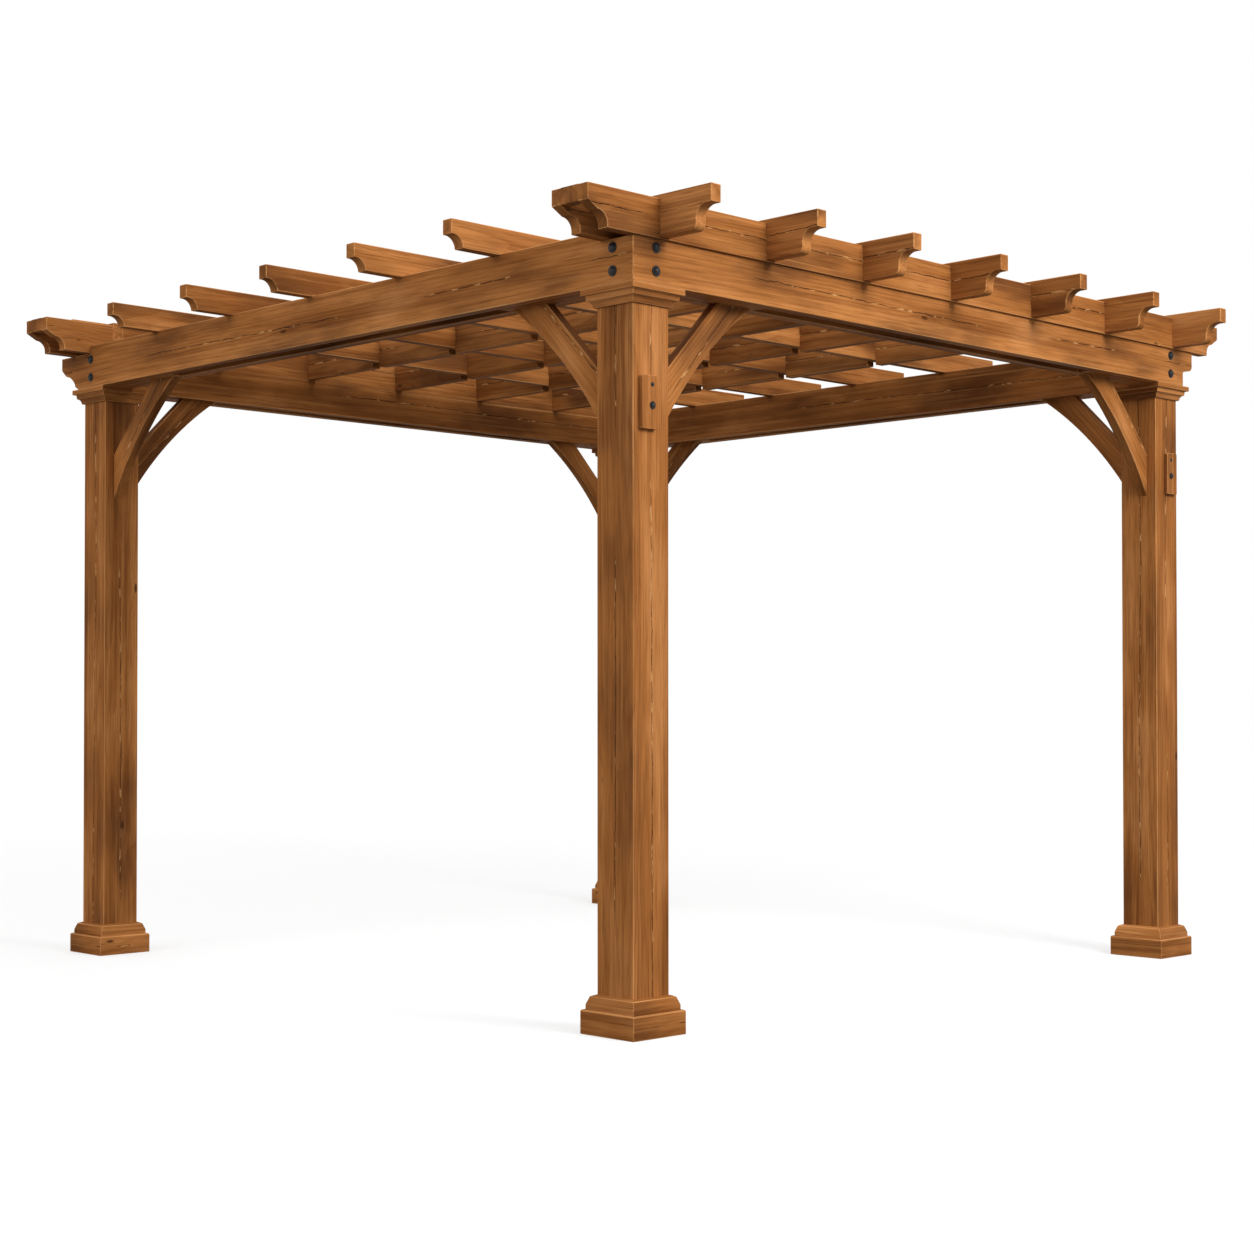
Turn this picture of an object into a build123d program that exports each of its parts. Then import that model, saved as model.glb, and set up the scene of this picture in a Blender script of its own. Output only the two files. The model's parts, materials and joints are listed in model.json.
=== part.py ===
"""A free-standing timber garden pergola on four square posts.

The four posts carry a ring of header beams, and the beams carry an open lattice of rafters
and purlins that are half-lapped together at one height. Dimensions are in millimetres, Z is
up, and the origin lies on the ground at the centre of the plan. The front beam is at -Y.
"""
import os

from build123d import *

os.makedirs("parts", exist_ok=True)

# Posts and their plan
post_pitch = 2900
post_size = 152
post_arris = 2
half_pitch = post_pitch / 2
post_face = post_size / 2

# Trim round the foot of each post: a boxed plinth under a stepped and bevelled moulding
plinth_size = 224
plinth_height = 73
plinth_ease = 3
moulding_reach = 25
moulding_fascia = 15
moulding_neck = 16
moulding_neck_height = 39
moulding_height = 45

# Header beams: two boards and a spacer that sits up between them
beam_bottom = 2227
beam_depth = 135
bearing_rise = 29
board_thickness = 40
spacer_width = 60
spacer_recess = 20
beam_width = 2 * board_thickness + spacer_width
beam_face = half_pitch + 112
beam_inner = beam_face - beam_width
beam_top = beam_bottom + beam_depth
bearing_top = beam_top + bearing_rise
recess_length = 1860

# Shaped ends of the beams that run on past a post
beam_throat = 1519
front_beam_reach = 1642
front_nose = 48
front_bevel_run = 32
front_bevel_drop = 26
front_soffit_run = 24
front_soffit_drop = 6
front_ogee_run = 43
front_ogee_drop = 34
front_ogee_hollow = 4
front_fillet = 8
right_beam_reach = 1586
right_nose = 52
right_ovolo = 20
right_soffit_fall = 6
right_cove = 12

# Capital: a square block flush with the beams, over a crown of a fascia, a cove and a bead
block_reach = beam_face - half_pitch - post_face
capital_block = 18
crown_reach = 25
fascia_drop = 17
fascia_foot = 23
cove_reach = 19
cove_drop = 15
cove_hollow = 2
bead_reach = 10
bead_foot = 8
crown_drop = 37

# Roof lattice: the deeper purlins stand a little above the rafters that they are halved over
lattice_pitch = 480
lattice_thickness = 42
lap_level = 2430
rafter_top = 2473
rafter_bottom = 2387
rafter_depth = rafter_top - rafter_bottom
rafter_reach = 1763
purlin_top = 2494
purlin_bottom = 2367
purlin_depth = purlin_top - purlin_bottom
purlin_reach = 1779
rafter_places = [step * lattice_pitch for step in range(-2, 3)]
purlin_places = [step * lattice_pitch for step in range(-2, 3)]
corner_tail_place = 3 * lattice_pitch

# Tails of the roof members, cut behind a square nose
rafter_nose = 47
rafter_nose_return = 6
rafter_cove_run = 48
rafter_cove_hollow = 12
purlin_nose = 54
ogee_cove = 40
ogee_waist = 60
ogee_heel = 20

# Doubled rim rafters over the two side beams
rim_top = 2482
rim_reach = 1760
rim_nose = 49
rim_cove = 38
rim_cove_set = 42
rim_chamfer_drop = 72
rim_face = beam_face + 12
rim_width = 152
rim_depth = rim_top - beam_top
rim_gap = rim_width - 2 * board_thickness
rim_inner = rim_face - rim_width
rim_centre = rim_face - rim_width / 2
end_block = 38
filler_length = 440
filler_centre = 1400

# Knee braces and the blocks that back their bolts
brace_thickness = 38
brace_offset = 18
brace_top_inner = 262
brace_top_outer = 417
brace_foot_upper = 265
brace_foot_lower = 436
brace_hollow = 33
block_width = 68
block_height = 160
block_thickness = 16
block_centre_z = 1880
block_arris = 3

# A rectangle that stands on the point it is placed at, and one that hangs from it
standing = (Align.CENTER, Align.MIN)
hanging = (Align.CENTER, Align.MAX)

corners = {
    "front_left": (-1, -1),
    "front_right": (1, -1),
    "back_left": (-1, 1),
    "back_right": (1, 1),
}


def keep(piece, name):
    """Label a finished piece and write it under its own name."""
    piece.part.label = name
    export_step(piece.part, f"parts/{name}.step")


def upright(origin, direction):
    """A vertical drawing plane whose X runs along the direction and whose Y is up."""
    return Plane(origin=origin, x_dir=direction, z_dir=Vector(*direction).cross(Vector(0, 0, 1)))


# The posts are sawn square, with their long corners eased, and stand up to the beams' underside.
def make_post(name, x, y):
    with BuildPart() as post:
        with BuildSketch(Plane(origin=(x, y, 0))):
            Rectangle(post_size, post_size)
        extrude(amount=beam_bottom)
        chamfer(post.edges().filter_by(Axis.Z), post_arris)
    keep(post, name)


# A plain skirt of boards boxes in the foot of each post.
def make_plinth(name, x, y):
    with BuildPart() as plinth:
        with BuildSketch(Plane(origin=(x, y, 0))):
            Rectangle(plinth_size, plinth_size)
            Rectangle(post_size, post_size, mode=Mode.SUBTRACT)
        extrude(amount=plinth_height)
        outer_rim = plinth.edges().group_by(Axis.Z)[-1].sort_by(Edge.length)[-4:]
        chamfer(outer_rim, plinth_ease)
    keep(plinth, name)


# Mouldings are run round a post with mitred corners: one section swept along the post's outline.
def post_outline(x, y, z):
    with BuildLine(Plane(origin=(x, y, z))) as outline:
        Polyline(
            (post_face, 0),
            (post_face, post_face),
            (-post_face, post_face),
            (-post_face, -post_face),
            (post_face, -post_face),
            (post_face, 0),
        )
    return outline.line


with BuildPart() as base_mouldings:
    for side, end in corners.values():
        x = side * half_pitch
        y = end * half_pitch
        with BuildSketch(Plane.XZ.offset(-y).shift_origin((x + post_face, y, plinth_height))):
            with BuildLine():
                Polyline(
                    (0, 0),
                    (moulding_reach, 0),
                    (moulding_reach, moulding_fascia),
                    (moulding_neck, moulding_neck_height),
                    (0, moulding_height),
                    (0, 0),
                )
            make_face()
        sweep(path=post_outline(x, y, plinth_height), transition=Transition.RIGHT)
keep(base_mouldings, "base_mouldings")


def make_capital(name, x, y):
    block_bottom = beam_bottom - capital_block
    cove_top = (cove_reach, -fascia_drop)
    bead_top = (bead_reach, -fascia_drop - cove_drop)
    with BuildPart() as capital:
        with BuildSketch(Plane.XZ.offset(-y).shift_origin((x + post_face, y, block_bottom))):
            with BuildLine():
                Polyline((0, capital_block), (block_reach, capital_block), (block_reach, 0))
                Polyline((block_reach, 0), (crown_reach, 0), (fascia_foot, -fascia_drop), cove_top)
                SagittaArc(cove_top, bead_top, -cove_hollow)
                Polyline(bead_top, (bead_foot, -crown_drop), (0, -crown_drop), (0, capital_block))
            make_face()
        sweep(path=post_outline(x, y, block_bottom), transition=Transition.RIGHT)
    keep(capital, name)


for corner, (side, end) in corners.items():
    post_x = side * half_pitch
    post_y = end * half_pitch
    make_post(f"post_{corner}", post_x, post_y)
    make_plinth(f"plinth_{corner}", post_x, post_y)
    make_capital(f"capital_{corner}", post_x, post_y)


# A beam's end seen square on, drawn from its top to its foot. The front beam runs on past the
# post to a nose, a bevel, a soffit and an ogee down to the throat.
def front_end():
    bevel_top = (front_beam_reach, beam_top - front_nose)
    bevel_foot = (bevel_top[0] - front_bevel_run, bevel_top[1] - front_bevel_drop)
    soffit_end = (bevel_foot[0] - front_soffit_run, bevel_foot[1] - front_soffit_drop)
    ogee_foot = (soffit_end[0] - front_ogee_run, soffit_end[1] - front_ogee_drop)
    Polyline((front_beam_reach, beam_top), bevel_top, bevel_foot, soffit_end)
    SagittaArc(soffit_end, ogee_foot, -front_ogee_hollow)
    Polyline(ogee_foot, (ogee_foot[0], ogee_foot[1] - front_fillet), (beam_throat, beam_bottom))
    return front_beam_reach, beam_throat


# The right beam's end is shorter: a nose, an ovolo, a soffit and a small cove.
def right_end():
    ovolo_z = beam_top - right_nose
    soffit_z = ovolo_z - right_ovolo
    cove_x = beam_throat + right_cove
    cove_top = soffit_z - right_soffit_fall
    Line((right_beam_reach, beam_top), (right_beam_reach, ovolo_z))
    CenterArc((right_beam_reach - right_ovolo, ovolo_z), right_ovolo, 270, 90)
    Line((right_beam_reach - right_ovolo, soffit_z), (cove_x, cove_top))
    CenterArc((cove_x, cove_top - right_cove), right_cove, 90, 90)
    Line((beam_throat, cove_top - right_cove), (beam_throat, beam_bottom))
    return right_beam_reach, beam_throat


# The other two are cut square where they butt against a beam.
def butt_end():
    Line((beam_inner, beam_top), (beam_inner, beam_bottom))
    return beam_inner, beam_inner


# The front and back beams also rise between the rim boards, where the rafters bear on them.
def make_beam(name, plane, draw_end, rises, mitre_corner, mitre_side):
    with BuildPart() as beam:
        with BuildSketch(plane):
            with BuildLine():
                top_x, foot_x = draw_end()
                Polyline(
                    (foot_x, beam_bottom),
                    (-beam_face, beam_bottom),
                    (-beam_face, beam_top),
                    (top_x, beam_top),
                )
            make_face()
            if rises:
                with Locations((0, beam_top)):
                    Rectangle(2 * rim_inner, bearing_rise, align=standing)
        extrude(amount=beam_width)
        middle = plane.origin + plane.z_dir * (beam_width / 2)
        with BuildSketch(Plane(origin=(middle.X, middle.Y, beam_bottom), x_dir=plane.x_dir)):
            Rectangle(recess_length, spacer_width)
        extrude(amount=spacer_recess, mode=Mode.SUBTRACT)
        split(bisect_by=Plane(origin=mitre_corner, z_dir=(1, 1, 0)), keep=mitre_side)
    keep(beam, name)


# The front and right beams meet in a mitre at the near corner and run on past the far posts.
# The back and left beams meet in a mitre at the far corner and butt against the other two.
near_corner = (beam_face, -beam_face, 0)
far_corner = (-beam_face, beam_face, 0)
make_beam(
    "beam_front", upright((0, -beam_face, 0), (-1, 0, 0)),
    front_end, True, near_corner, Keep.BOTTOM,
)
make_beam(
    "beam_right", upright((beam_inner, 0, 0), (0, 1, 0)),
    right_end, False, near_corner, Keep.TOP,
)
make_beam(
    "beam_back", upright((0, beam_face, 0), (1, 0, 0)),
    butt_end, True, far_corner, Keep.TOP,
)
make_beam(
    "beam_left", upright((-beam_inner, 0, 0), (0, -1, 0)),
    butt_end, False, far_corner, Keep.BOTTOM,
)


# Half of a rafter's outline, from the middle of its underside round the tail to the middle of
# its top. The tail of each kind is cut to its own curve behind a square nose.
def rafter_tail():
    nose_z = rafter_top - rafter_nose
    heel = rafter_reach - rafter_cove_run
    cove_top = (rafter_reach - rafter_nose_return, nose_z)
    Line((0, rafter_bottom), (heel, rafter_bottom))
    SagittaArc((heel, rafter_bottom), cove_top, rafter_cove_hollow)
    Polyline(cove_top, (rafter_reach, nose_z), (rafter_reach, rafter_top), (0, rafter_top))


def purlin_tail(root):
    nose_z = purlin_top - purlin_nose
    waist = purlin_reach - ogee_waist
    heel_z = purlin_bottom + ogee_heel
    cove_foot = nose_z - ogee_cove
    Line((root, purlin_bottom), (waist - ogee_heel, purlin_bottom))
    CenterArc((waist - ogee_heel, heel_z), ogee_heel, 270, 90)
    Line((waist, heel_z), (waist, cove_foot))
    CenterArc((waist + ogee_cove, cove_foot), ogee_cove, 90, 90)
    Line((waist + ogee_cove, nose_z), (purlin_reach, nose_z))
    Polyline((purlin_reach, nose_z), (purlin_reach, purlin_top), (root, purlin_top))


def rim_tail():
    nose_z = rim_top - rim_nose
    chamfer_z = rim_top - rim_chamfer_drop
    cove_x = rim_reach - rim_cove_set
    cove_foot = chamfer_z - rim_cove
    Polyline((0, beam_top), (cove_x - rim_cove, beam_top), (cove_x - rim_cove, cove_foot))
    CenterArc((cove_x, cove_foot), rim_cove, 90, 90)
    Line((cove_x, chamfer_z), (rim_reach, nose_z))
    Polyline((rim_reach, nose_z), (rim_reach, rim_top), (0, rim_top))


rim_board_centres = (
    rim_face - board_thickness / 2,
    rim_inner + board_thickness / 2,
    -rim_inner - board_thickness / 2,
    -rim_face + board_thickness / 2,
)


# Rafters run front to back. They sit over the front and back beams on shallow notches, and
# keep their lower half where a purlin crosses.
def make_rafter(name, x):
    beam_centre = (beam_face + beam_inner) / 2
    with BuildPart() as rafter:
        with BuildSketch(Plane.YZ.offset(x - lattice_thickness / 2)):
            with BuildLine():
                rafter_tail()
                mirror(about=Plane.YZ)
            make_face()
            with Locations(*[(y, lap_level) for y in purlin_places]):
                Rectangle(lattice_thickness, rafter_depth, align=standing, mode=Mode.SUBTRACT)
            with Locations((beam_centre, bearing_top), (-beam_centre, bearing_top)):
                Rectangle(beam_width, rafter_depth, align=hanging, mode=Mode.SUBTRACT)
        extrude(amount=lattice_thickness)
    keep(rafter, name)


# Purlins run left to right. They keep their upper half where a rafter or a rim board crosses.
def make_purlin(name, y):
    laps = [(x, lattice_thickness) for x in rafter_places]
    laps += [(x, board_thickness) for x in rim_board_centres]
    with BuildPart() as purlin:
        with BuildSketch(Plane.XZ.offset(-y - lattice_thickness / 2)):
            with BuildLine():
                purlin_tail(0)
                mirror(about=Plane.YZ)
            make_face()
            for x, width in laps:
                with Locations((x, lap_level)):
                    Rectangle(width, purlin_depth, align=hanging, mode=Mode.SUBTRACT)
        extrude(amount=lattice_thickness)
    keep(purlin, name)


# The front and back beams take the place of the outermost purlins, so only their tails are
# made: short pieces that are halved over the rim boards at the four corners.
with BuildPart() as corner_tails:
    for y in (-corner_tail_place, corner_tail_place):
        with BuildSketch(Plane.XZ.offset(-y - lattice_thickness / 2)):
            with BuildLine():
                purlin_tail(rim_inner)
                Line((rim_inner, purlin_bottom), (rim_inner, purlin_top))
            make_face()
            for x in rim_board_centres[:2]:
                with Locations((x, lap_level)):
                    Rectangle(board_thickness, purlin_depth, align=hanging, mode=Mode.SUBTRACT)
            mirror(about=Plane.YZ)
        extrude(amount=lattice_thickness)
keep(corner_tails, "corner_tails")


# A rim rafter is a pair of boards over a side beam, with end blocks that close its noses.
rim_laps = [-corner_tail_place, *purlin_places, corner_tail_place]


def make_rim_board(name, centre):
    with BuildPart() as board:
        with BuildSketch(Plane.YZ.offset(centre - board_thickness / 2)):
            with BuildLine():
                rim_tail()
                mirror(about=Plane.YZ)
            make_face()
            with Locations(*[(y, lap_level) for y in rim_laps]):
                Rectangle(lattice_thickness, rim_depth, align=standing, mode=Mode.SUBTRACT)
        extrude(amount=board_thickness)
    keep(board, name)


for number, x in enumerate(rafter_places, start=1):
    make_rafter(f"rafter_{number}", x)
for number, y in enumerate(purlin_places, start=1):
    make_purlin(f"purlin_{number}", y)
rim_names = ("rim_right_outer", "rim_right_inner", "rim_left_inner", "rim_left_outer")
for name, centre in zip(rim_names, rim_board_centres):
    make_rim_board(name, centre)

with BuildPart() as rim_end_blocks:
    with BuildSketch(Plane.XY.offset(rim_top - rim_nose)):
        with GridLocations(2 * rim_centre, 2 * rim_reach - end_block, 2, 2):
            Rectangle(rim_gap, end_block)
    extrude(amount=rim_nose)
keep(rim_end_blocks, "rim_end_blocks")

# Over the two front posts filler blocks stand a little proud between the rim boards, before
# and behind the corner tail, and rise as high as it does.
with BuildPart() as rim_fillers:
    with BuildSketch(Plane.XY.offset(lap_level)):
        with Locations((rim_centre, -filler_centre), (-rim_centre, -filler_centre)):
            Rectangle(rim_gap, filler_length)
        with Locations((0, -corner_tail_place)):
            Rectangle(2 * rim_face, lattice_thickness, mode=Mode.SUBTRACT)
    extrude(amount=purlin_top - lap_level)
keep(rim_fillers, "rim_fillers")


# A knee brace lies in a beam's plane. Its upper edge is straight, its lower edge is hollowed to
# an arc, and both ends are cut to bear flat on the beam and on the post.
def make_brace(name, foot, direction):
    with BuildPart() as brace:
        with BuildSketch(upright(foot, direction)):
            with BuildLine():
                Polyline(
                    (0, -brace_foot_lower),
                    (0, -brace_foot_upper),
                    (brace_top_inner, 0),
                    (brace_top_outer, 0),
                )
                SagittaArc((0, -brace_foot_lower), (brace_top_outer, 0), brace_hollow)
            make_face()
        extrude(amount=brace_thickness / 2, both=True)
    keep(brace, name)


brace_line = half_pitch + brace_offset
brace_root = half_pitch - post_face
for side, end in ((1, -1), (-1, -1), (1, 1), (-1, 1)):
    depth_word = "front" if end < 0 else "back"
    side_word = "right" if side > 0 else "left"
    foot = (side * brace_root, end * brace_line, beam_bottom)
    make_brace(f"brace_{depth_word}_beam_{side_word}", foot, (-side, 0, 0))
    foot = (side * brace_line, end * brace_root, beam_bottom)
    make_brace(f"brace_{side_word}_beam_{depth_word}", foot, (0, -end, 0))

# A block on the outer face of each post backs the bolt of the brace behind it.
with BuildPart() as brace_blocks:
    block_x = half_pitch + post_face + block_thickness / 2
    with GridLocations(2 * block_x, 2 * brace_line, 2, 2):
        with Locations((0, 0, block_centre_z)):
            Box(block_thickness, block_width, block_height)
    chamfer(brace_blocks.edges().filter_by(Axis.X), block_arris)
keep(brace_blocks, "brace_blocks")
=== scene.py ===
# %% [markdown]
# A timber garden pergola, finished in Blender.
# The real one is made of sawn softwood with a warm brown stain. Every piece of the construction
# already has its exact shape in the imported model. So this lesson doesn't model the timbers
# again: it eases their sharp corners, gives them grain, wear and a painted highlight along the
# arris, and adds the bolts.

import json
import math

import bpy
from mathutils import Euler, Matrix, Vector


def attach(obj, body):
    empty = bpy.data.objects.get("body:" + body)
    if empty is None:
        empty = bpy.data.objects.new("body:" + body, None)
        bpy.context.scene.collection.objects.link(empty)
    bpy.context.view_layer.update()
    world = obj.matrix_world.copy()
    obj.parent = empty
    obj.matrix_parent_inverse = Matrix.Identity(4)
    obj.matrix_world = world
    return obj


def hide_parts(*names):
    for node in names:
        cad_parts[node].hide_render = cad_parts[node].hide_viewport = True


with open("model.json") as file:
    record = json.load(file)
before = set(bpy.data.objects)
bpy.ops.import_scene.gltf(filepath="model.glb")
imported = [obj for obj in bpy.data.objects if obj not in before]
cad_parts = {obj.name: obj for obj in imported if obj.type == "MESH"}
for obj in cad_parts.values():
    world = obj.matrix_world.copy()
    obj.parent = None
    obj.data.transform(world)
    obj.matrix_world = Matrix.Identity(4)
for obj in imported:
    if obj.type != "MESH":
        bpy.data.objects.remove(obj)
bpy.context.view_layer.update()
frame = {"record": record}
slots = {row["node"]: row["material_slot"] for row in frame["record"]["subparts"]}
bpy.ops.object.select_all(action="DESELECT")

# %% [markdown]
# Colours on paint cards and in photographs are written as sRGB hex values, and shaders want
# linear ones. One function turns the first into the second. A second one adds a node, sets or
# links its inputs, and hands back one of its outputs, so each recipe below reads as a list.


# %% Helpers for materials
def linear(hex_colour):
    """The linear RGBA of an sRGB hex colour such as #B87840."""
    channels = [int(hex_colour[i:i + 2], 16) / 255 for i in (1, 3, 5)]
    return [c / 12.92 if c <= 0.04045 else ((c + 0.055) / 1.055) ** 2.4 for c in channels] + [1]


def wire(tree, kind, inputs=None, out=0, **settings):
    """Adds a node, sets each input or links it to another's output, and gives one output."""
    made = tree.nodes.new("ShaderNode" + kind)
    for key, value in settings.items():
        setattr(made, key, value)
    for socket, value in (inputs or {}).items():
        if isinstance(value, bpy.types.NodeSocket):
            tree.links.new(value, made.inputs[socket])
        else:
            made.inputs[socket].default_value = linear(value) if isinstance(value, str) else value
    return made.outputs[out] if made.outputs else None


def new_material(name):
    """A material with an empty node tree."""
    material = bpy.data.materials.new(name)
    material.use_nodes = True
    material.node_tree.nodes.clear()
    return material, material.node_tree


print("linear mid brown", [round(c, 3) for c in linear("#9A6230")])

# %% [markdown]
# Grain runs lengthwise in each timber, so every direction of timber needs its own turn of the
# pattern: along X, along Y, upright, and four ways up the slope of a knee brace. Drying opens a
# check along the middle of a face, so each direction also says where its check lines lie.

# %% Directions of the grain
post_line = 1.450
beam_line = 1.492
brace_rise, brace_run = 0.436, 0.417
brace_slope = math.degrees(math.atan2(brace_rise, brace_run))
turns = {
    "x": (0, 0, 0),
    "y": (0, 0, -90),
    "z": (0, 90, 0),
    "brace_left": (0, brace_slope, 0),
    "brace_right": (0, 180 - brace_slope, 0),
    "brace_front": (-brace_slope, 0, -90),
    "brace_back": (brace_slope - 180, 0, -90),
}
# Where one check line lies and how far on the next is, across the grain in Y and then in Z.
# A line 5 m out is one that no timber reaches. Rafters are the clearest stock and show none.
level_checks = ((beam_line, 2 * beam_line), (2.306, 0.129))
upright_checks = ((post_line, 2 * post_line), (post_line, 2 * post_line))
sloping_checks = ((0.02, 0.11), (0.035, 0.125))
trim_checks = ((5.0, 10.0), (0.036, 3.0))
no_checks = ((5.0, 10.0), (5.0, 10.0))
checks = {way: sloping_checks for way in turns}
checks.update(x=level_checks, y=level_checks, z=upright_checks)
checks.update(trim_x=trim_checks, trim_y=trim_checks, block=no_checks, rafter=no_checks)
turns.update(trim_x=turns["x"], trim_y=turns["y"], block=turns["z"], rafter=turns["y"])
# The ways in which the ends of a timber show.
ends = {"x": Vector((1, 0, 0)), "y": Vector((0, 1, 0)), "z": Vector((0, 0, 1))}
ends["rafter"] = ends["y"]
print(len(turns), "directions, braces at", round(brace_slope, 1), "degrees")

# %% [markdown]
# Sawn softwood under a brown stain has structure at several scales. Growth rings are cut
# lengthwise and show as faint long lines 10 to 25 mm apart. Fibres and the saw make streaks a
# few millimetres wide. The stain takes in clouds of 5 to 20 cm, and each timber took it a
# little differently. Noise that is stretched along the grain makes all of these, so the pattern
# runs through the solid as in a real log.


# %% Grain, rings and knots
def grain_patterns(tree, grain, way):
    """A dictionary of the patterns in the wood, each a value from 0 to 1 at every point."""
    # Checks run on for half a metre in a timber, but only 50 to 100 mm in the short trim.
    splits_a_metre = 9.0 if way.startswith("trim") else 1.5
    # Cycles a metre along and across the grain, then octaves and their roughness. A real
    # fibre is 0.05 mm wide: here they repeat every 4 mm, as fine as a photograph shows.
    patterns = {
        "fibre": (8.0, 260.0, 2.0, 0.6),
        "streak": (0.9, 60.0, 3.0, 0.7),
        "band": (0.5, 17.0, 2.0, 0.5),
        "cloud": (1.8, 6.0, 3.0, 0.5),
        "batch": (0.0, 2.3, 0.0, 0.5),
        "log": (0.28, 6.0, 1.0, 0.4),
        "wander": (0.8, 1.5, 0.0, 0.5),
        "jag": (16.0, 30.0, 3.0, 0.65),
        "split": (splits_a_metre, 4.0, 0.0, 0.5),
        "chip": (24.0, 90.0, 1.0, 0.5),
    }
    seen = {}
    for pattern, (along, across, octaves, roughness) in patterns.items():
        stretched = wire(
            tree, "VectorMath", {0: grain, 1: (along, across, across)}, operation="MULTIPLY"
        )
        seen[pattern] = wire(
            tree, "TexNoise",
            {"Vector": stretched, "Scale": 1.0, "Detail": octaves, "Roughness": roughness},
        )
    # A knot is the middle of a long cell, about 400 mm from the next, and rings swerve round it.
    cells = wire(tree, "VectorMath", {0: grain, 1: (2.5, 7.0, 7.0)}, operation="MULTIPLY")
    seen["knot"] = wire(tree, "TexVoronoi", {"Vector": cells, "Scale": 1.0}, out="Distance")
    swerve = wire(tree, "MapRange", {0: seen["knot"], 1: 0.3, 2: 0.0, 4: 1.2})
    ring = wire(tree, "Math", {0: seen["log"], 1: 24.0, 2: swerve}, operation="MULTIPLY_ADD")
    seen["ring"] = wire(tree, "Math", {0: ring}, operation="FRACT")
    return seen


# %% [markdown]
# A drying check is a dark jagged crack along the middle of a face, with pale splinters at its
# lips. It starts as a straight line at a known place. The distance from that line is shifted
# by slow noise, so it wanders, and by quick noise, so it is jagged, and a third noise closes it
# here and there. On an upright or a level face, a different axis measures the distance.


# %% Drying checks
def add_checks(tree, seen, grain, looks, way):
    """Adds the dark line of the checks and their pale lips to the patterns that are seen."""
    # The line wanders by up to 20 mm, most often by less than 10, and its jags reach 7 mm.
    wander = wire(tree, "Math", {0: seen["wander"], 1: 0.04, 2: -0.02}, operation="MULTIPLY_ADD")
    jag = wire(tree, "Math", {0: seen["jag"], 1: 0.014, 2: -0.007}, operation="MULTIPLY_ADD")
    shift = wire(tree, "Math", {0: wander, 1: jag}, operation="ADD")
    away = []
    for axis, (line, pitch) in zip("YZ", checks[way]):
        across = wire(tree, "SeparateXYZ", {"Vector": grain}, out=axis)
        moved = wire(tree, "Math", {0: across, 1: shift}, operation="ADD")
        from_line = wire(tree, "Math", {0: moved, 1: line}, operation="SUBTRACT")
        away.append(wire(tree, "Math", {0: from_line, 1: pitch / 2}, operation="PINGPONG"))
    sideways = wire(tree, "SeparateXYZ", {"Vector": looks}, out="Y")
    level = wire(tree, "Math", {0: sideways}, operation="ABSOLUTE")
    flat_on = wire(tree, "Math", {0: level, 1: 0.7}, operation="GREATER_THAN")
    nearest = wire(tree, "Mix", {0: flat_on, 2: away[0], 3: away[1]})
    ragged = wire(tree, "Math", {0: seen["chip"], 1: 0.003, 2: -0.0015}, operation="MULTIPLY_ADD")
    nearest = wire(tree, "Math", {0: nearest, 1: ragged}, operation="ADD")

    # Most of a timber's line is open, and under half of the line in the short trim.
    open_above = 0.52 if way.startswith("trim") else 0.36
    opened = wire(tree, "MapRange", {0: seen["split"], 1: open_above, 2: open_above + 0.05})
    line_here = wire(tree, "MapRange", {0: nearest, 1: 0.0015, 2: 0.0003})
    seen["check"] = wire(tree, "Math", {0: line_here, 1: opened}, operation="MULTIPLY")
    lip_here = wire(tree, "MapRange", {0: nearest, 1: 0.005, 2: 0.0015})
    flake = wire(tree, "MapRange", {0: seen["chip"], 1: 0.56, 2: 0.64})
    lip = wire(tree, "Math", {0: lip_here, 1: flake}, operation="MULTIPLY")
    seen["lip"] = wire(tree, "Math", {0: lip, 1: opened}, operation="MULTIPLY")


# %% [markdown]
# The colour is built as a finisher sees it: one mid brown, then darker and paler stains over it,
# each where its own pattern is strong. The pale streak of an arris is worn wood and also a
# painted highlight. A table of stains keeps that readable: the pattern, the values at which the
# stain starts and is full, its colour, and the share of it that shows.


# %% Layers of stain
wood_brown = "#B2743E"
every_stain = (
    ("ring", 0.3, 0.97, "#774319", 0.38),
    ("band", 0.5, 0.66, "#6A3A18", 0.5),
    ("band", 0.47, 0.34, "#BC7C43", 0.5),
    ("batch", 0.42, 0.58, "#7C471B", 0.5),
    ("cloud", 0.45, 0.72, "#452615", 0.72),
    ("cloud", 0.48, 0.28, "#C68852", 0.46),
)
grain_stains = {
    "sawn": (
        ("streak", 0.5, 0.7, "#603210", 0.44),
        ("streak", 0.46, 0.3, "#C2854B", 0.38),
        ("fibre", 0.48, 0.72, "#502A0C", 0.42),
    ),
    # The pale streak of a worn arris, which is also a painted highlight along the edge.
    "rubbed_and_highlit": (("streak", 0.7, 0.3, "#D99D63", 0.75),),
    "end": (("fibre", 0.3, 0.7, "#5B3415", 0.3),),
}
knot_stain = ("knot", 0.06, 0.03, "#3A1E0B", 0.8)
check_stains = (("lip", 0.2, 0.8, "#D4A069", 0.75), ("check", 0.1, 1.0, "#2E1709", 0.86))


def stained(tree, seen, finish):
    """The colour of the wood with all the stains of its finish laid over each other, the painted
    highlight of an arris among them.
    """
    stains = [*every_stain, *grain_stains[finish], knot_stain]
    if finish == "sawn":
        stains += check_stains
    colour = wood_brown
    for pattern, start, end, tint, share in stains:
        amount = wire(
            tree, "MapRange", {0: seen[pattern], 1: start, 2: end, 4: share},
            interpolation_type="SMOOTHSTEP",
        )
        colour = wire(
            tree, "Mix", {"Factor": amount, 6: colour, 7: tint}, out=2, data_type="RGBA"
        )
    return colour


print(len(every_stain), "stains on every finish")
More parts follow.
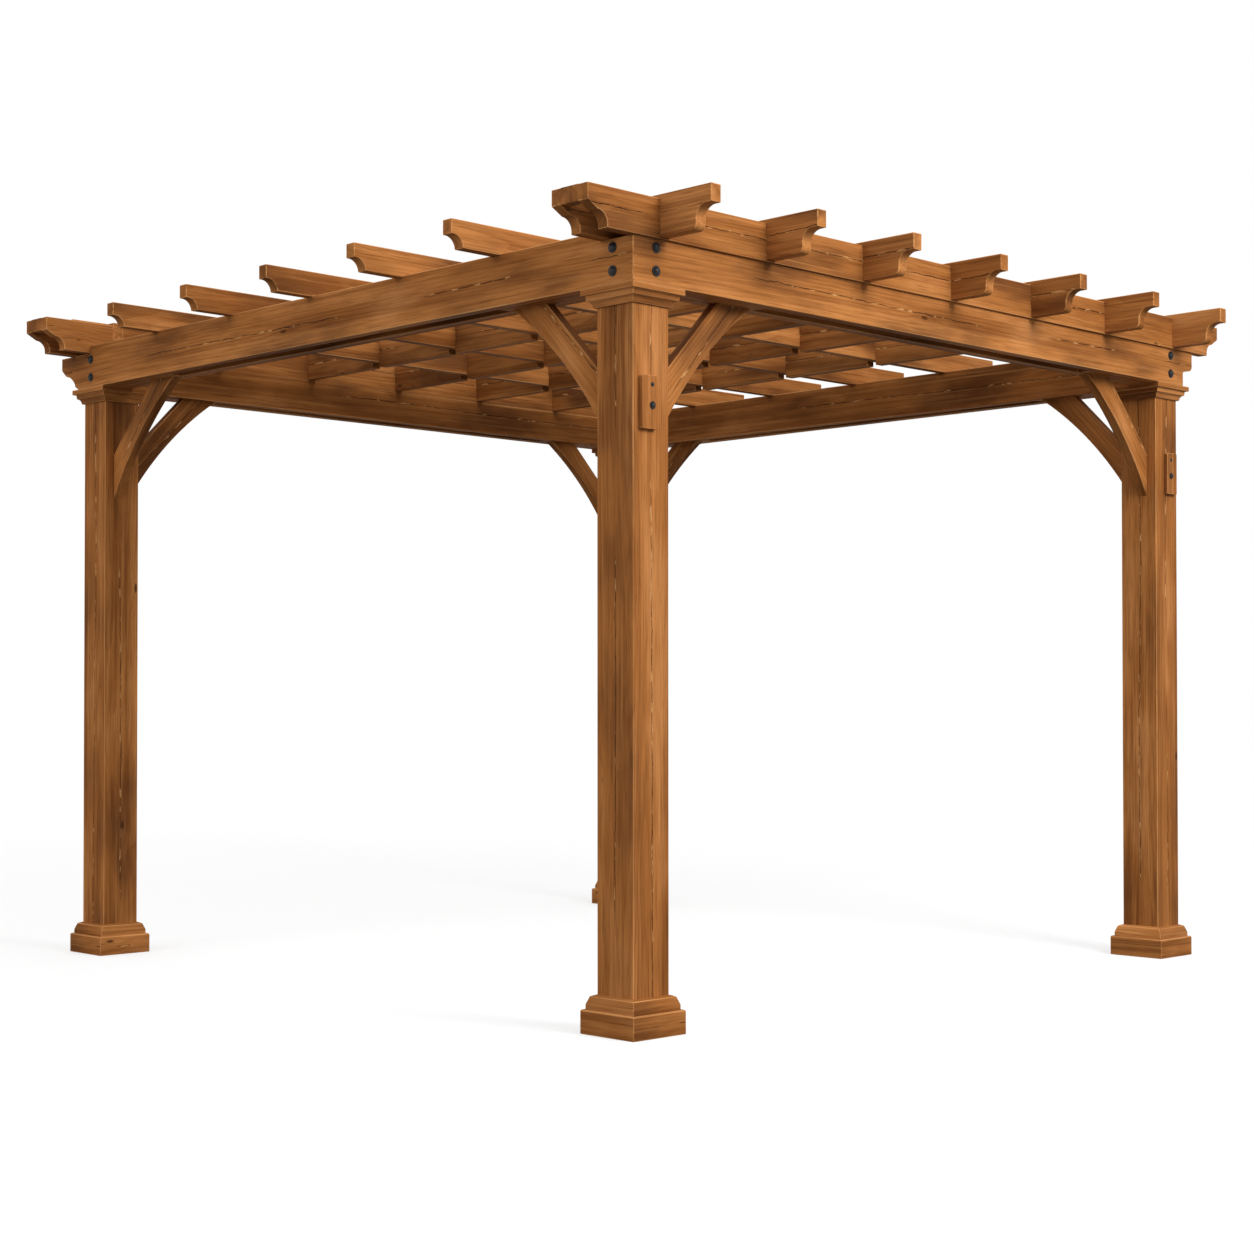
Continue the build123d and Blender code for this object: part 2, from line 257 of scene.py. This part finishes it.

# %% [markdown]
# Three finishes share the recipe. A sawn face shows everything. An arris rubbed by hands and
# sandpaper is paler, and it also gets a painted highlight there; the end of a timber shows
# fibres cut across. Each is made once for every direction. Stained softwood is nearly matt, so
# it gets little gloss.


# %% Stained softwood
def stained_softwood(name, way, finish):
    """Softwood with its grain one way, sawn, rubbed pale at an arris with a painted highlight, or
    showing its end.
    """
    material, tree = new_material(name)
    turned = [math.radians(angle) for angle in turns[way]]
    place = wire(tree, "TexCoord", out="Object")
    facing = wire(tree, "TexCoord", out="Normal")
    # Metres along the grain in X, and across it in Y and Z.
    grain = wire(tree, "Mapping", {"Vector": place, "Rotation": turned})
    looks = wire(tree, "Mapping", {"Vector": facing, "Rotation": turned}, vector_type="VECTOR")
    seen = grain_patterns(tree, grain, way)
    add_checks(tree, seen, grain, looks, way)
    colour = stained(tree, seen, finish)

    # Fibres stand 0.3 mm proud, splinters 0.6 mm, and a check is a groove 2 mm deep.
    relief = wire(tree, "Math", {0: seen["fibre"], 1: 0.6, 2: 0.0}, operation="MULTIPLY_ADD")
    relief = wire(tree, "Math", {0: seen["lip"], 1: 1.0, 2: relief}, operation="MULTIPLY_ADD")
    relief = wire(tree, "Math", {0: seen["check"], 1: -3.5, 2: relief}, operation="MULTIPLY_ADD")
    bump = wire(tree, "Bump", {"Height": relief, "Distance": 0.0006, "Strength": 1.0})
    roughness = wire(tree, "MapRange", {0: seen["streak"], 1: 0.35, 2: 0.65, 3: 0.6, 4: 0.8})
    shader = wire(
        tree, "BsdfPrincipled",
        {"Base Color": colour, "Roughness": roughness, "Normal": bump, "Specular IOR Level": 0.05},
    )
    wire(tree, "OutputMaterial", {"Surface": shader})
    return material


finishes = ("sawn", "rubbed_and_highlit", "end")
softwood = {
    (way, finish): stained_softwood(f"{finish}_softwood_{way}", way, finish)
    for way in turns for finish in finishes
    if way in ends or finish != "end"
}
print(len(softwood), "finishes of softwood")

# %% [markdown]
# Sawn timber never has knife edges: handling and sanding leave a rounded arris, where the
# stain is thin and catches the light, and its paler colour is also a painted highlight. The
# imported mesh is loose triangles, so each piece is copied and merged to clean faces before
# anything is done to it.


# %% Copy a imported piece
def copy_of(node):
    """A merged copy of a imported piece."""
    source = bpy.data.objects[node]
    piece = source.copy()
    piece.data = source.data.copy()
    piece.name = f"{node}_finished"
    for key in list(piece.keys()):
        del piece[key]
    bpy.context.scene.collection.objects.link(piece)
    bpy.ops.object.select_all(action="DESELECT")
    piece.select_set(True)
    bpy.context.view_layer.objects.active = piece
    if piece.data.has_custom_normals:
        bpy.ops.mesh.customdata_custom_splitnormals_clear()
    bpy.ops.object.mode_set(mode="EDIT")
    bpy.ops.mesh.select_all(action="SELECT")
    bpy.ops.mesh.remove_doubles(threshold=0.00005)
    bpy.ops.mesh.dissolve_limited(angle_limit=math.radians(0.5))
    bpy.ops.object.mode_set(mode="OBJECT")
    piece.data.materials.clear()
    return piece


# %% [markdown]
# The arris is a bevel of the sharp edges, 1.5 to 3 mm wide, whose own faces take the rubbed
# finish: worn wood with a painted highlight. Where an end block fills the gap between two rim
# boards, the joint is planed flush on the real one. A bevel there would draw a groove, so those
# edges are left out of the selection.


# %% Ease the corners
joint_planes = (1.462, 1.534)
joint_start = 1.70
on_plane = 0.0005


def ease(piece, width):
    """Bevels the sharp edges of a piece, all but those in a tight joint."""
    bpy.ops.object.mode_set(mode="EDIT")
    bpy.ops.mesh.select_mode(type="EDGE")
    bpy.ops.mesh.select_all(action="DESELECT")
    bpy.ops.mesh.edges_select_sharp(sharpness=math.radians(35))
    bpy.ops.object.mode_set(mode="OBJECT")
    # A face that stayed selected would select its edges again.
    for face in piece.data.polygons:
        face.select = False
    for edge in piece.data.edges:
        corners = [piece.data.vertices[i].co for i in edge.vertices]
        off_plane = max(min(abs(abs(c.x) - plane) for plane in joint_planes) for c in corners)
        if off_plane < on_plane and min(abs(c.y) for c in corners) > joint_start:
            edge.select = False
    bpy.ops.object.mode_set(mode="EDIT")
    # The bevel's faces take the second finish, the pale worn arris with its painted highlight.
    bpy.ops.mesh.bevel(offset=width, segments=2, affect="EDGES", material=1)
    bpy.ops.object.mode_set(mode="OBJECT")


def stand_in(piece, node):
    """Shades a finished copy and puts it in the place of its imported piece."""
    bpy.ops.object.shade_smooth_by_angle(angle=math.radians(14))
    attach(piece, "root")
    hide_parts(node)


print("tight joints at", joint_planes, "m from the middle, beyond", joint_start, "m")

# %% [markdown]
# A table says which way the grain runs in each kind of timber, and how far its corners are
# eased. The posts already have their eased corners in the imported shape, so theirs is nought,
# and the narrow faces there take the rubbed finish with its painted highlight. Faces that look
# along the grain, also those in the curve of a tail, take the end grain.

# %% Dress the timbers
timbers = {
    "rafter": ("rafter", 0.0026),
    "rim": ("y", 0.0026),
    "beam_left": ("y", 0.003),
    "beam_right": ("y", 0.003),
    "purlin": ("x", 0.0026),
    "corner_tails": ("x", 0.0026),
    "beam_front": ("x", 0.003),
    "beam_back": ("x", 0.003),
    "post": ("z", 0),
    "brace_blocks": ("block", 0.0015),
    "brace_front_beam_left": ("brace_left", 0.002),
    "brace_back_beam_left": ("brace_left", 0.002),
    "brace_front_beam_right": ("brace_right", 0.002),
    "brace_back_beam_right": ("brace_right", 0.002),
    "brace_left_beam_front": ("brace_front", 0.002),
    "brace_right_beam_front": ("brace_front", 0.002),
    "brace_left_beam_back": ("brace_back", 0.002),
    "brace_right_beam_back": ("brace_back", 0.002),
}
end_tilt = 0.25
for start, (way, width) in timbers.items():
    for node in sorted(name for name in slots if name.startswith(start)):
        piece = copy_of(node)
        for finish in finishes:
            if (way, finish) in softwood:
                piece.data.materials.append(softwood[way, finish])
        for face in piece.data.polygons:
            end_on = way in ends and abs(face.normal.dot(ends[way])) > end_tilt
            # A post's eased corner looks 45 degrees away from both axes.
            arris = way == "z" and 0.6 < abs(face.normal.x) < 0.8
            # Index 1 is the pale worn arris with its painted highlight, and index 2 the end grain.
            face.material_index = 2 if end_on else 1 if arris else 0
        if width:
            ease(piece, width)
        stand_in(piece, node)

# %% [markdown]
# The trim round a post is mitred, so its grain runs along each side in turn. Every face takes
# its finish from the way it looks: faces that look along X have their grain along Y.

# %% Dress the trim
trim_ease = 0.0018
trim = [node for node in sorted(slots) if node.startswith(("plinth", "base_mouldings", "capital"))]
for node in trim:
    piece = copy_of(node)
    # Each way gets a sawn finish and the pale worn arris with its painted highlight.
    for way in ("trim_x", "trim_y"):
        for finish in ("sawn", "rubbed_and_highlit"):
            piece.data.materials.append(softwood[way, finish])
    for face in piece.data.polygons:
        face.material_index = 0
    ease(piece, trim_ease)
    for face in piece.data.polygons:
        face.material_index += 2 if abs(face.normal.x) > abs(face.normal.y) else 0
    stand_in(piece, node)
print("dressed", len(trim), "pieces of trim")

# %% [markdown]
# The timbers are pulled together by black coach bolts: a low domed head on a round washer, in
# steel that is dipped in black lacquer and baked. That leaves a soft, slightly uneven gloss.

# %% Black japanned steel
bolt_steel, bolt_tree = new_material("black_japanned_steel")
# Baked lacquer is uneven at 4 mm, so its gloss breaks up a little.
lacquer_place = wire(bolt_tree, "TexCoord", out="Object")
lacquer = wire(bolt_tree, "TexNoise", {"Vector": lacquer_place, "Scale": 250.0, "Detail": 2.0})
lacquer_gloss = wire(bolt_tree, "MapRange", {0: lacquer, 3: 0.4, 4: 0.6})
lacquer_bump = wire(bolt_tree, "Bump", {"Height": lacquer, "Distance": 0.0003, "Strength": 0.6})
bolt_shader = wire(
    bolt_tree, "BsdfPrincipled",
    {
        "Base Color": "#0E0C0B", "Roughness": lacquer_gloss, "Normal": lacquer_bump,
        "Specular IOR Level": 0.3,
    },
)
wire(bolt_tree, "OutputMaterial", {"Surface": bolt_shader})
print("finish of the bolts:", bolt_steel.name)

# %% [markdown]
# The head is one closed shape, raised in edit mode from a disc: the disc is extruded to a
# washer, its rim is inset and lifted a little, and the dome follows ring by ring.

# %% One bolt head
washer_radius, washer_thick = 0.0165, 0.0025
washer_rim, rim_lift = 0.0008, 0.0006
dome_radius, dome_rise = 0.0125, 0.0085
bpy.ops.object.select_all(action="DESELECT")
bpy.ops.mesh.primitive_circle_add(vertices=32, radius=washer_radius, fill_type="NGON")
bolt = bpy.context.object
bolt.name = "bolt_pattern"
bpy.ops.object.mode_set(mode="EDIT")
bpy.ops.mesh.select_all(action="SELECT")
bpy.ops.mesh.extrude_region_move(TRANSFORM_OT_translate={"value": (0, 0, washer_thick)})
bpy.ops.mesh.inset(thickness=washer_rim)
bpy.ops.transform.translate(value=(0, 0, rim_lift))
bpy.ops.mesh.inset(thickness=washer_radius - washer_rim - dome_radius)
# The dome rises in four rings, each one drawn in along a quarter of an ellipse.
turn_steps = [math.radians(angle) for angle in (0, 22, 44, 62, 78)]
for low_turn, high_turn in zip(turn_steps, turn_steps[1:]):
    rise = dome_rise * (math.sin(high_turn) - math.sin(low_turn))
    shrink = math.cos(high_turn) / math.cos(low_turn)
    bpy.ops.mesh.extrude_region_move(TRANSFORM_OT_translate={"value": (0, 0, rise)})
    bpy.ops.transform.resize(value=(shrink, shrink, 1))
bpy.ops.mesh.select_all(action="SELECT")
bpy.ops.mesh.normals_make_consistent(inside=False)
bpy.ops.object.mode_set(mode="OBJECT")
bpy.ops.object.shade_smooth_by_angle(angle=math.radians(35))
bolt.data.materials.append(bolt_steel)
print("bolt head stands", round(max(v.co.z for v in bolt.data.vertices) * 1000, 1), "mm proud")

# %% [markdown]
# Two bolts go through each beam at each corner, and two smaller ones through each brace block.
# A copy gets its own mesh, is turned to look outwards, and has its place applied to the mesh.


# %% Place the bolts
def place_bolt(name, place, outward, size=1.0):
    """A copy of the bolt head at a place in metres, looking outward."""
    head = bolt.copy()
    head.data = bolt.data.copy()
    head.name = name
    bpy.context.scene.collection.objects.link(head)
    bpy.ops.object.select_all(action="DESELECT")
    head.select_set(True)
    bpy.context.view_layer.objects.active = head
    head.rotation_euler = Vector(outward).to_track_quat("Z", "Y").to_euler()
    head.location = place
    head.scale = (size, size, size)
    bpy.ops.object.transform_apply(location=True, rotation=True, scale=True)
    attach(head, "root")


beam_face = 1.562
beam_bolt_rows = {"upper": 2.336, "lower": 2.266}
bolts_across = {"right": 1.477, "left": -1.423}
bolts_along = {"front": -1.466, "back": 1.4245}
for row, height in beam_bolt_rows.items():
    for side, across in bolts_across.items():
        place_bolt(f"bolt_front_{side}_{row}", (across, -beam_face, height), (0, -1, 0))
        place_bolt(f"bolt_back_{side}_{row}", (across, beam_face, height), (0, 1, 0))
    for end, along in bolts_along.items():
        place_bolt(f"bolt_right_{end}_{row}", (beam_face, along, height), (1, 0, 0))
        place_bolt(f"bolt_left_{end}_{row}", (-beam_face, along, height), (-1, 0, 0))

# The bolts in a brace block are smaller: their height, and their size beside a beam's bolt.
block_face = 1.542
block_line = 1.460
block_bolt_rows = {"lower": (1.871, 0.72), "upper": (1.933, 0.4)}
for end, along in (("front", -block_line), ("back", block_line)):
    for side, outwards in (("right", 1), ("left", -1)):
        for row, (height, size) in block_bolt_rows.items():
            place = (outwards * block_face, along, height)
            place_bolt(f"bolt_block_{side}_{end}_{row}", place, (outwards, 0, 0), size)
bpy.data.objects.remove(bolt)
print("bolt heads in place")

# %% [markdown]
# The photograph was taken from waist height, level with the near post, on a white ground. The
# camera is level to within a degree, which keeps the posts upright.

# %% Camera
eye = (5.94285, -6.03972, 0.99890)
heading = 136.351
rise = 0.9632
camera_data = bpy.data.cameras.new("camera")
camera_data.lens = 61.565
camera_data.sensor_width = 36
camera_data.shift_x = 0.0539
camera_data.shift_y = 0.0289
camera = bpy.data.objects.new("camera", camera_data)
camera.location = eye
camera.rotation_euler = Euler((math.radians(90 + rise), 0, math.radians(heading - 90)))
bpy.context.scene.collection.objects.link(camera)
bpy.context.scene.camera = camera
print("camera at", eye)

# %% [markdown]
# The ground is white to the camera, and there it keeps the faint shadows of the feet. Light
# that bounces off it is that of a plain grey floor, which leaves the underside of the roof dark.


# %% Ground
def seen_directly(tree):
    """1 for rays of the camera, mirrors and glass, which see white, and 0 for all others."""
    straight = wire(tree, "LightPath", out="Is Camera Ray")
    mirrored = wire(tree, "LightPath", out="Is Glossy Ray")
    through = wire(tree, "LightPath", out="Is Transmission Ray")
    direct = wire(tree, "Math", {0: straight, 1: mirrored}, operation="MAXIMUM")
    return wire(tree, "Math", {0: direct, 1: through}, operation="MAXIMUM")


bpy.ops.object.select_all(action="DESELECT")
bpy.ops.mesh.primitive_plane_add(size=60, location=(0, 0, 0))
ground = bpy.context.object
ground.name = "ground"
ground_material, ground_tree = new_material("white_ground")
# The lamps fade with distance, so the glow grows a little from 4 m to 11 m out.
spot = wire(ground_tree, "TexCoord", out="Object")
metres_out = wire(ground_tree, "VectorMath", {0: spot}, out="Value", operation="LENGTH")
glowing = wire(ground_tree, "MapRange", {0: metres_out, 1: 4.0, 2: 11.0, 3: 0.6, 4: 0.66})
glow = wire(ground_tree, "Emission", {"Color": "#FFFFFF", "Strength": glowing})
faint = wire(ground_tree, "BsdfDiffuse", {"Color": "#A4A4A4"})
grey = wire(ground_tree, "BsdfDiffuse", {"Color": "#6A6A6A"})
white = wire(ground_tree, "AddShader", {0: glow, 1: faint})
shown = wire(ground_tree, "MixShader", {0: seen_directly(ground_tree), 1: grey, 2: white})
wire(ground_tree, "OutputMaterial", {"Surface": shown})
ground.data.materials.append(ground_material)
print("ground", tuple(ground.dimensions))

# %% [markdown]
# Soft studio light comes from all round. A broad lamp stands high on the right, so faces on
# the right are the lighter ones, and a weaker one fills in those that look to the front.

# %% Sky and lamps
world = bpy.data.worlds.new("studio")
bpy.context.scene.world = world
world.use_nodes = True
sky = world.node_tree
sky.nodes.clear()
soft = wire(sky, "Background", {"Color": "#FFFFFF", "Strength": 0.95})
white = wire(sky, "Background", {"Color": "#FFFFFF", "Strength": 1.0})
shown = wire(sky, "MixShader", {0: seen_directly(sky), 1: soft, 2: white})
wire(sky, "OutputWorld", {"Surface": shown})

# Each lamp: where it stands, what it looks at, how wide it is and its power in watts.
lamps = {
    "key_lamp": ((6.5, -0.2, 4.6), (0.8, -0.3, 1.4), 3, 350),
    "fill_lamp": ((-0.5, -8.5, 3.0), (0, -1.4, 1.8), 3, 130),
}
for name, (place, target, width, power) in lamps.items():
    bpy.ops.object.light_add(type="AREA", location=place)
    lamp = bpy.context.object
    lamp.name = name
    lamp.data.shape = "DISK"
    lamp.data.size = width
    lamp.data.energy = power
    lamp.visible_camera = False
    lamp.rotation_euler = (Vector(target) - lamp.location).to_track_quat("-Z", "Y").to_euler()
bpy.context.scene.view_settings.view_transform = "Standard"
print("lit by", ", ".join(lamps))
